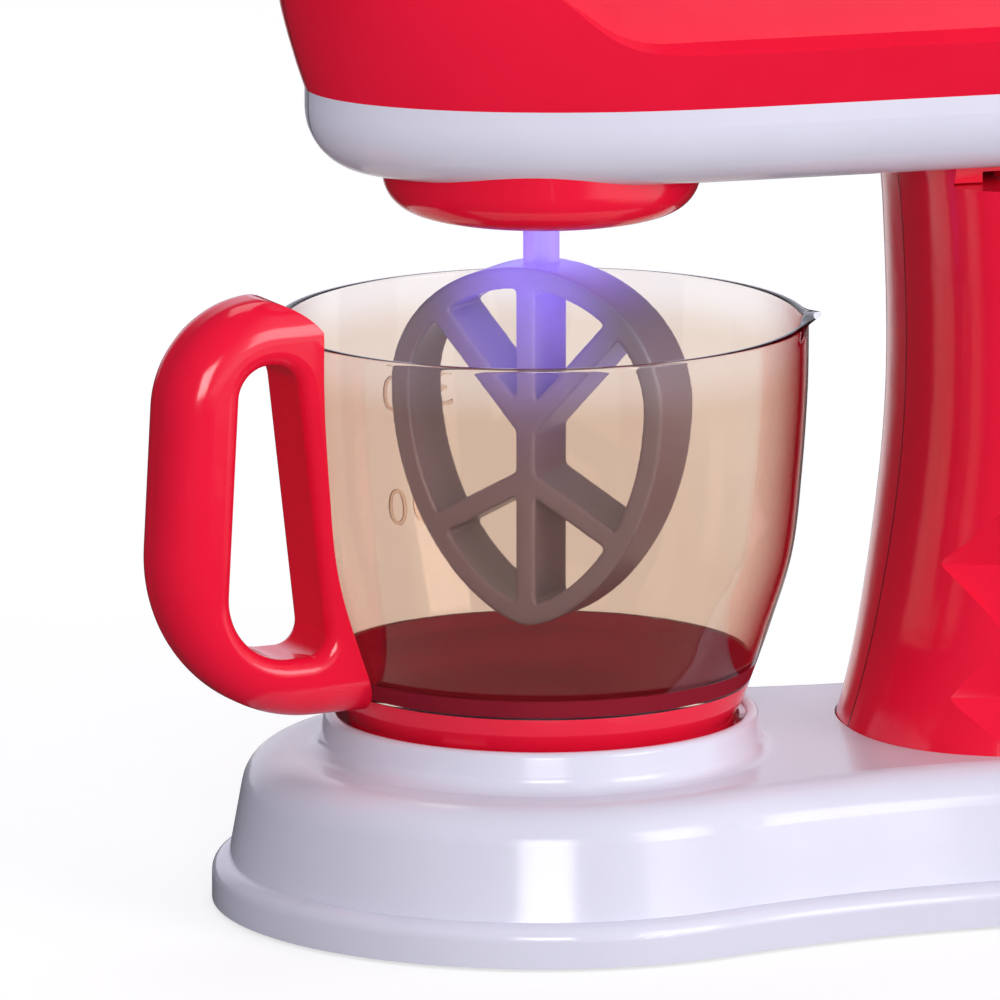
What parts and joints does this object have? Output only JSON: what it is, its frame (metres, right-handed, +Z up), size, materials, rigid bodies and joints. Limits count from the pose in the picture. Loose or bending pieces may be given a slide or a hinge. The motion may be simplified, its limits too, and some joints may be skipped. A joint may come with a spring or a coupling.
{
  "type": "toy stand mixer",
  "caption": "Toy stand mixer: tilting head on a column, lit shaft with an egg-shaped beater, smoky clear bowl with handle locked on a wide base.",
  "frame": {"origin": "on the table, at the middle of the part's length and width", "axes": "+X from the bowl towards the column and the rear, +Z up, -Y the side with the speed dial"},
  "size_m": [0.2462, 0.129, 0.2216],
  "materials": {
    "white_plastic": "gloss",
    "red_plastic": "gloss",
    "grey_plastic": "satin",
    "clear_plastic": "clear",
    "smoky_plastic": "clear",
    "led_lens": "clear",
    "rubber": "matte",
    "steel": "plated",
    "cell_wrap": "gloss",
    "gear_plastic": "satin",
    "black_plastic": "matte",
    "board": "satin"
  },
  "bodies": {
    "stand": {"base_shell": "white_plastic", "base_bottom_plate": "white_plastic", "foot_pads": "rubber", "base_screws": "steel", "battery_door": "white_plastic", "battery_door_screw": "steel", "battery_cells": "cell_wrap", "battery_springs": "steel", "battery_contacts": "steel", "column_left": "red_plastic", "column_right": "red_plastic", "column_screws": "steel", "hinge_pin": "steel", "button_spring": "steel"},
    "release": {"release_button": "red_plastic"},
    "head": {"head_upper_left": "red_plastic", "head_upper_right": "red_plastic", "head_lower_left": "white_plastic", "head_lower_right": "white_plastic", "head_screws": "steel", "hub_cover": "red_plastic", "hub_screws": "steel", "neck_block": "red_plastic", "neck_screws": "steel", "gear_plate": "black_plastic", "gear_plate_screws": "steel", "motor": "steel", "idler_axle": "steel", "shaft_bushing": "gear_plastic", "circuit_board": "board", "shaft_led": "led_lens", "speed_switch": "black_plastic"},
    "drive": {"drive_shaft": "clear_plastic", "output_gear": "gear_plastic", "beater": "grey_plastic"},
    "idler": {"idler_gear": "gear_plastic"},
    "pinion": {"motor_pinion": "gear_plastic", "motor_shaft": "steel"},
    "dial": {"speed_dial": "red_plastic"},
    "bowl": {"bowl_cup": "smoky_plastic", "bowl_foot": "red_plastic", "bowl_handle": "red_plastic"}
  },
  "joints": [
    {"name": "head_tilt", "type": "hinge", "parent": "stand", "child": "head", "pos_m": [0.0804, 0, 0.1424], "axis": [0, 1, 0], "range_deg": [0, 30]},
    {"name": "beater_spin", "type": "hinge", "parent": "head", "child": "drive", "pos_m": [-0.0386, 0, 0.15], "axis": [0, 0, 1], "continuous": true},
    {"name": "idler_spin", "type": "hinge", "parent": "head", "child": "idler", "pos_m": [-0.0036, 0, 0.15], "axis": [0, 0, 1], "continuous": true},
    {"name": "pinion_spin", "type": "hinge", "parent": "head", "child": "pinion", "pos_m": [0.0164, 0, 0.15], "axis": [0, 0, 1], "continuous": true},
    {"name": "dial_turn", "type": "hinge", "parent": "head", "child": "dial", "pos_m": [0.0734, -0.044, 0.1905], "axis": [0, 1, 0], "range_deg": [0, 90]},
    {"name": "button_press", "type": "slide", "parent": "stand", "child": "release", "axis": [-1, 0, 0], "range_m": [0, 0.003], "stiffness_N_per_m": 400, "springref_m": -0.002, "deforming": ["button_spring"]},
    {"name": "bowl_turn", "type": "hinge", "parent": "stand", "child": "bowl", "pos_m": [-0.0386, 0, 0.035], "axis": [0, 0, 1], "range_deg": [0, 30]}
  ],
  "couplings": [
    {"joint": "idler_spin", "follows": "beater_spin", "ratio": -1.3333},
    {"joint": "pinion_spin", "follows": "beater_spin", "ratio": 4}
  ]
}
